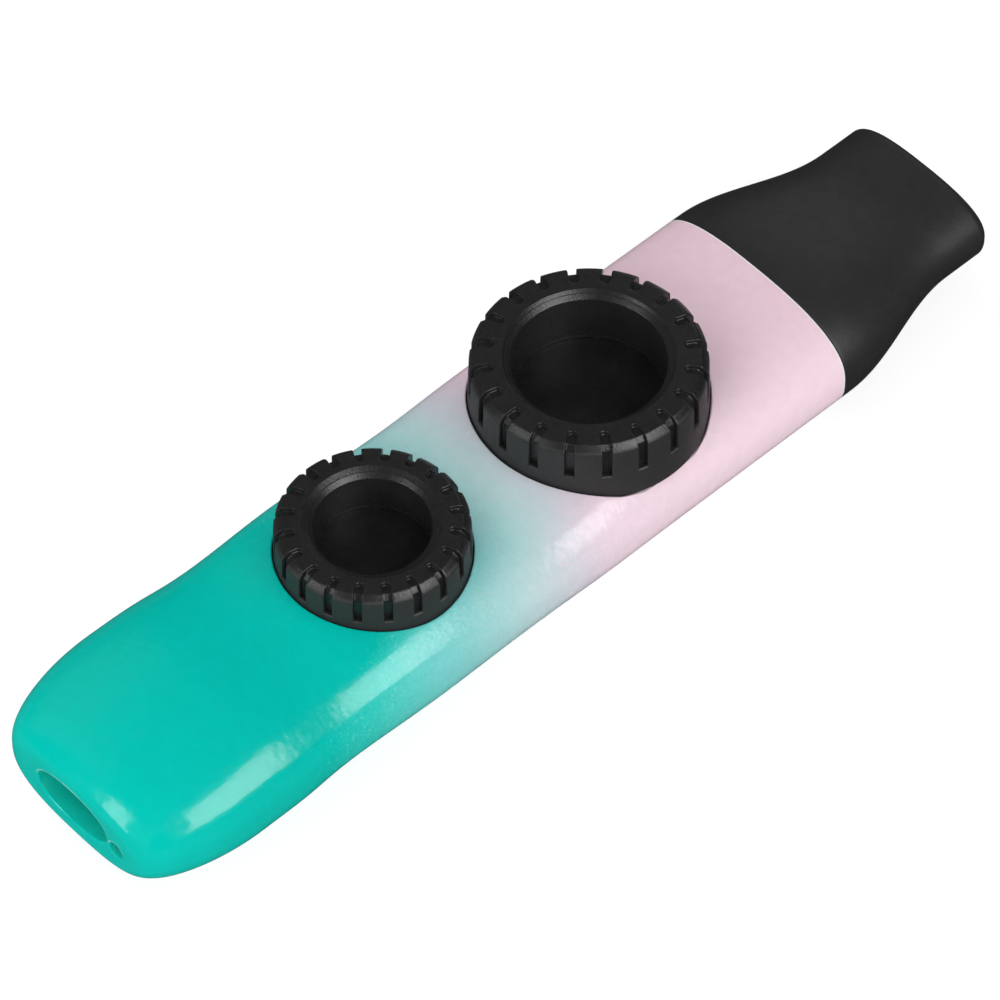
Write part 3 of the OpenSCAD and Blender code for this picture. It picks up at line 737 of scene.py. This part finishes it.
# ---------------------------------------------------------------- the caps
def slot_cutters(c):
    """The grip grooves: a strip that follows the cap's surface, and a round inner end on its top."""
    top, half = c["top"], c["slot_w"] / 2
    low_top, bed_top, foot = top - SLOPE_FALL, top - SLOT_TOP_DEPTH, CAP_Z + c["foot"]
    wall, bed_wall = c["d"] / 2 - c["lean"], c["d"] / 2 - c["slot_depth"]
    start = c["d"] / 2 - c["slot_in"] + half
    share = (low_top - foot) / (low_top - CAP_Z - EDGE_BEVEL)
    surface = [(start, top), (wall - CAP_SLOPE, top), (wall, low_top),
               (c["d"] / 2 - c["lean"] * (1 - share), foot)]
    bed = [(start, bed_top), (bed_wall - CAP_SLOPE + SLOT_TOP_DEPTH / 2, bed_top),
           (bed_wall, bed_top - SLOPE_FALL + SLOT_TOP_DEPTH / 2), (bed_wall, foot)]
    lip, heel, lip_end, bevel = 0.13, 0.16, 80, 0.14

    def bent(line, radius):
        p = [np.array(q) for q in line]
        return [p[0]] + corner(*p[:3], radius, 5) + corner(*p[1:], radius, 5) + [p[3]]

    def section(depth):
        """Half of a groove across: rounded heel, rounded lip and room above."""
        pts = [(half - back, up) for up, back in fillet(heel, 4)]
        pts += [(half + grow, depth - back) for grow, back in fillet(lip, 5, 0, lip_end)]
        y, h = pts[-1]
        return pts + [(y + 0.22, h + 0.05), (y + 0.22, h + 1.0)]

    rings = []
    tops, beds = bent(surface, 0.7), bent(bed, 0.5)
    for k, (here, below) in enumerate(zip(tops, beds)):
        depth = float(np.linalg.norm(here - below))
        out = (here - below) / depth
        row = []
        for y, h in section(depth):
            p = below + out * h
            # The groove's lower edge is bevelled
            drop = max(0.0, h - (depth - bevel)) if k == len(tops) - 1 else 0.0
            row.append((p[0], y, p[1] - drop))
        rings.append(np.array([(r, -y, z) for r, y, z in row[::-1]] + row))
    count = len(rings[0])
    faces = grid_faces(len(rings), count)
    last = (len(rings) - 1) * count
    for i in range(count // 2 - 1):
        faces.append((i, i + 1, count - 2 - i, count - 1 - i))
        faces.append((last + count - 1 - i, last + count - 2 - i, last + i + 1, last + i))

    around = 40
    discs = [circle(start, r, bed_top + h, around) for r, h in section(SLOT_TOP_DEPTH)]
    end = (len(discs) - 1) * around
    disc_faces = grid_faces(len(discs), around) + [tuple(range(around)), tuple(range(end, end + around))[::-1]]
    for name, rows, row_faces in (("groove", rings, faces), ("groove_end", discs, disc_faces)):
        parts = []
        for k in range(SLOTS):
            a = math.radians(c["turn"] + 360 * k / SLOTS)
            turn = np.array([[math.cos(a), math.sin(a), 0], [-math.sin(a), math.cos(a), 0], [0, 0, 1]])
            parts.append((np.concatenate(rows) @ turn + np.array([c["x"], 0, 0]), row_faces))
        yield joined(name, parts)


def cap(name, c):
    """A cup with an open well; its outline runs from the press tube's foot round to the well's lip."""
    top, well, low, high, inside, out = c["top"], c["well"], c["low"], c["high"], c["inside"], c["d"] / 2
    rim = top - LIP_LOW_RISE - LIP_UP_RISE
    clip_top = SLIP_Z + SLIP_T + CLIP_H
    groove_low = clip_top - BEAD_H - CLIP_GAP
    outline = rounded([
        (well, BOSS_Z, 0), (low, BOSS_Z, 0.1), (low, groove_low, 0), (low - BEAD, groove_low, 0),
        (low - BEAD, clip_top + CLIP_GAP, 0), (high, clip_top + CLIP_GAP, 0.05), (high, top - CAP_TOP, 0.3),
        (inside, top - CAP_TOP, 0.3), (inside, CAP_Z + EDGE_BEVEL, 0.12), (inside + EDGE_BEVEL, CAP_Z, 0.1),
        (out - EDGE_BEVEL, CAP_Z, 0.15), (out, CAP_Z + EDGE_BEVEL, 0.2),
        (out - c["lean"], top - SLOPE_FALL, 0.7), (out - c["lean"] - CAP_SLOPE, top, 0.7),
        (well + LIP_LOW + LIP_STEP + c["lip_up"], top, 0.14),
        (well + LIP_LOW + LIP_STEP, rim + LIP_LOW_RISE, 0.04), (well + LIP_LOW, rim + LIP_LOW_RISE, 0.08),
        (well, rim, 0.16)])
    outline = split_line(outline, inside)
    z0 = FLOOR_Z + THREAD_START + PITCH / 2

    def thread(angle, r, z):
        return np.where(np.abs(r - inside) < SAME, r - thread_height(z, angle, z0, 1.6, 0.2), r)

    obj = revolve(name, outline, c["x"], 288, thread)
    for tool in slot_cutters(c):
        boolean(obj, tool)
    obj.data.materials.clear()
    obj.data.materials.append(CAP_PLASTIC)
    return smooth(obj, 40)


def slip_ring(name, c):
    """The ring that clips under the cap, with a bead on its upright rim."""
    z = SLIP_Z + SLIP_T
    bead_z, bead_r = z + CLIP_H - BEAD_H, c["clip"] - BEAD
    outline = rounded([(c["well"], SLIP_Z, 0.1), (c["high"], SLIP_Z, 0.2), (c["high"], z + CLIP_H, 0.1),
                       (bead_r, z + CLIP_H, 0.08), (bead_r, bead_z, 0.06), (c["clip"], bead_z, 0),
                       (c["clip"], z, 0.1), (c["well"], z, 0)])
    obj = revolve(name, outline, c["x"])
    obj.data.materials.append(SLIP_PLASTIC)
    return smooth(obj)


def flat_ring(name, c, z, thick, outer, inner, radius, material):
    """A flat ring with all its edges rounded."""
    obj = revolve(name, rounded([(inner, z, radius), (outer, z, radius), (outer, z + thick, radius),
                                 (inner, z + thick, radius)]), c["x"])
    obj.data.materials.append(material)
    return smooth(obj, 50)


def film(name, c):
    """A thin disc, flat where it is held and faintly wrinkled over the bore."""
    outer, free, count = c["bore"] - CARTRIDGE_GAP - 0.1, c["well"] - 0.35, 180
    radii = np.concatenate([np.linspace(0.25, free, 44), [free + 0.2, outer - 0.15, outer - 0.02]])
    turn = np.linspace(0, 2 * math.pi, count, endpoint=False)

    def sag(r, a):
        hold = ease((free - r) / 1.6)
        x, y = r * np.cos(a), r * np.sin(a)
        folds = 0.035 * np.sin(0.9 * x + 0.5 * y + 1.4 * np.sin(0.33 * y))
        folds = folds + 0.025 * np.sin(1.7 * y - 0.6 * x + 0.7)
        rays = 0.012 * np.sin(17 * a + 2.0 * np.sin(3 * a)) * ease(r / 5) * ease((free - r) / 0.8)
        return hold * (folds - 0.1 * (1 - (r / free) ** 2)) + rays

    top = FILM_Z + FILM_T
    rings = [circle(c["x"], r, top + sag(r, turn), count) for r in radii]
    rings.append(circle(c["x"], outer, FILM_Z + FILM_T / 2, count))
    rings += [circle(c["x"], r, FILM_Z + sag(r, turn), count) for r in radii[::-1]]
    middle = float(sag(0.0, 0.0))
    obj = loft(name, rings, ((c["x"], 0, top + middle), (c["x"], 0, FILM_Z + middle)))
    obj.data.materials.append(FILM_PAINTED_SHADE)
    return smooth(obj, 60)


# ---------------------------------------------------------------- putting it together
def put(obj, node, body_name):
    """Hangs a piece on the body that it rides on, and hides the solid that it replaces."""
    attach(obj, body_name)
    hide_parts(node)


put(body(), "body_shell", "body")
put(mouthpiece(), "mouthpiece", "mouthpiece")
put(seal(), "mouthpiece_seal", "mouthpiece")
for size, c in CAPS.items():
    put(cap(size + "_screw_cap", c), size + "_cap", size + "_cap")
    put(slip_ring(size + "_clip_ring", c), size + "_slip_ring", size + "_lift")
    put(film(size + "_film_disc", c), size + "_membrane", "body")
    outer = c["bore"] - CARTRIDGE_GAP
    put(flat_ring(size + "_film_ring", c, RING_Z, RING_T, outer, c["well"], 0.12, RING_PLASTIC),
        size + "_membrane_ring", "body")
    put(flat_ring(size + "_soft_washer", c, FLOOR_Z, GASKET_T, outer, c["well"] + 0.2, 0.22, RUBBER),
        size + "_gasket", "body")


# ---------------------------------------------------------------- floor, light and camera
def panel(name, centre, width, height, way, strength, diffuse=True, glossy=True):
    """A soft box with its middle at a place in metres; way points from the object to it."""
    light = bpy.data.lights.new(name, "AREA")
    light.shape = "RECTANGLE"
    light.size, light.size_y = width, height
    light.energy = strength * math.pi * width * height
    obj = bpy.data.objects.new(name, light)
    obj.location = centre
    obj.rotation_euler = Vector(way).to_track_quat("Z", "Y").to_euler()
    obj.visible_diffuse, obj.visible_glossy, obj.visible_camera = diffuse, glossy, False
    bpy.context.scene.collection.objects.link(obj)


# Boxes are seen in reflections only, and washes light evenly without being seen.
# The near box is a stack of strips: its right end slants and its upper left corner is cut off.
STRIPS, BOX_LOW, BOX_HIGH, BOX_LEFT = 10, 0.16, 0.87, -0.165
CUT_Z, CUT_SLOPE, RIGHT_X, RIGHT_SLOPE = 0.7, 2.6, 0.1064, 0.3248
STRIP_H = (BOX_HIGH - BOX_LOW) / STRIPS
for i in range(STRIPS):
    z = BOX_LOW + STRIP_H * (i + 0.5)
    left, right = max(BOX_LEFT, BOX_LEFT + CUT_SLOPE * (z - CUT_Z)), RIGHT_X + RIGHT_SLOPE * z
    panel("box_right", ((left + right) / 2, -0.45, z), right - left, STRIP_H, (0, -1, 0), 8.5, diffuse=False)
panel("box_left", (-0.5275, 0.105, 0.27), 0.15, 0.42, (-0.9, 0.15, 0.42), 6.5, diffuse=False)
panel("box_back", (0.60, 0.34, 0.36), 0.36, 0.34, (0.78, 0.44, 0.45), 1.1, diffuse=False)
panel("wash_front", (0.069, -0.785, 0.616), 1.2, 0.9, (0.069, -0.785, 0.616), 2.3, glossy=False)
panel("wash_left", (-0.81, -0.07, 0.38), 0.9, 0.8, (-0.903, -0.079, 0.423), 2.25, glossy=False)
panel("wash_back", (-0.13, 0.74, 0.53), 0.9, 0.8, (-0.142, 0.807, 0.574), 1.9, glossy=False)
panel("wash_top", (0, 0, 1.1), 1.4, 1.4, (0, 0, 1), 0.25, glossy=False)

# The world: white to the camera, nearly black to reflections and faint to the rest
world = bpy.data.worlds.new("studio")
bpy.context.scene.world = world
world.use_nodes = True
tree = world.node_tree
tree.nodes.clear()
path = tree.nodes.new("ShaderNodeLightPath")
out = tree.nodes.new("ShaderNodeOutputWorld")
COOL, WHITE = (0.9, 0.95, 1.0, 1), (1, 1, 1, 1)
last = None
for ray, colour, strength in ((None, COOL, 0.15), ("Is Glossy Ray", COOL, 0.02), ("Is Camera Ray", WHITE, 1.0)):
    glow = tree.nodes.new("ShaderNodeBackground")
    glow.inputs["Color"].default_value = colour
    glow.inputs["Strength"].default_value = strength
    if ray:
        choose = tree.nodes.new("ShaderNodeMixShader")
        tree.links.new(path.outputs[ray], choose.inputs[0])
        tree.links.new(last, choose.inputs[1])
        tree.links.new(glow.outputs[0], choose.inputs[2])
        last = choose.outputs[0]
    else:
        last = glow.outputs[0]
tree.links.new(last, out.inputs["Surface"])


def floor_material():
    """White with faint shadows to the camera, dark to reflections."""
    m = Shader("pale_floor")
    path = m.add("ShaderNodeLightPath")
    see = path.outputs["Is Camera Ray"]
    dark = m.math("MULTIPLY", path.outputs["Is Glossy Ray"], 0.8)
    shade = m.math("SUBTRACT", m.remap(see, 0.0, 1.0, 0.86, 0.30), dark)
    matt = m.add("ShaderNodeBsdfDiffuse", {"Color": shade}).outputs[0]
    glow = m.add("ShaderNodeEmission", {"Color": WHITE, "Strength": m.math("MULTIPLY", see, 0.80)}).outputs[0]
    both = m.add("ShaderNodeAddShader", {0: matt, 1: glow}).outputs[0]
    m.tree.links.new(both, m.out.inputs["Surface"])
    return m.material


HALF = 4
corners = [(-HALF, -HALF, 0), (HALF, -HALF, 0), (HALF, HALF, 0), (-HALF, HALF, 0)]
floor_mesh = bpy.data.meshes.new("floor")
floor_mesh.from_pydata(corners, [], [(0, 1, 2, 3)])
floor = bpy.data.objects.new("floor", floor_mesh)
floor.location = (0, 0, -0.00005)
bpy.context.scene.collection.objects.link(floor)
floor_mesh.materials.append(floor_material())

# The camera as fitted to the photograph
camera = bpy.data.cameras.new("camera")
camera.sensor_width = 36.0
camera.lens = 251.96
camera.clip_start, camera.clip_end = 0.05, 20.0
view = bpy.data.objects.new("camera", camera)
right = Vector((0.7355, -0.6775, -0.0012)).normalized()
up = Vector((0.5367, 0.5815, 0.6114))
up = (up - right * up.dot(right)).normalized()
back_way = right.cross(up)
view.matrix_world = Matrix(((right.x, up.x, back_way.x, -0.36349), (right.y, up.y, back_way.y, -0.39339),
                            (right.z, up.z, back_way.z, 0.69909), (0, 0, 0, 1)))
bpy.context.scene.collection.objects.link(view)
bpy.context.scene.camera = view
bpy.context.scene.view_settings.view_transform = "Standard"
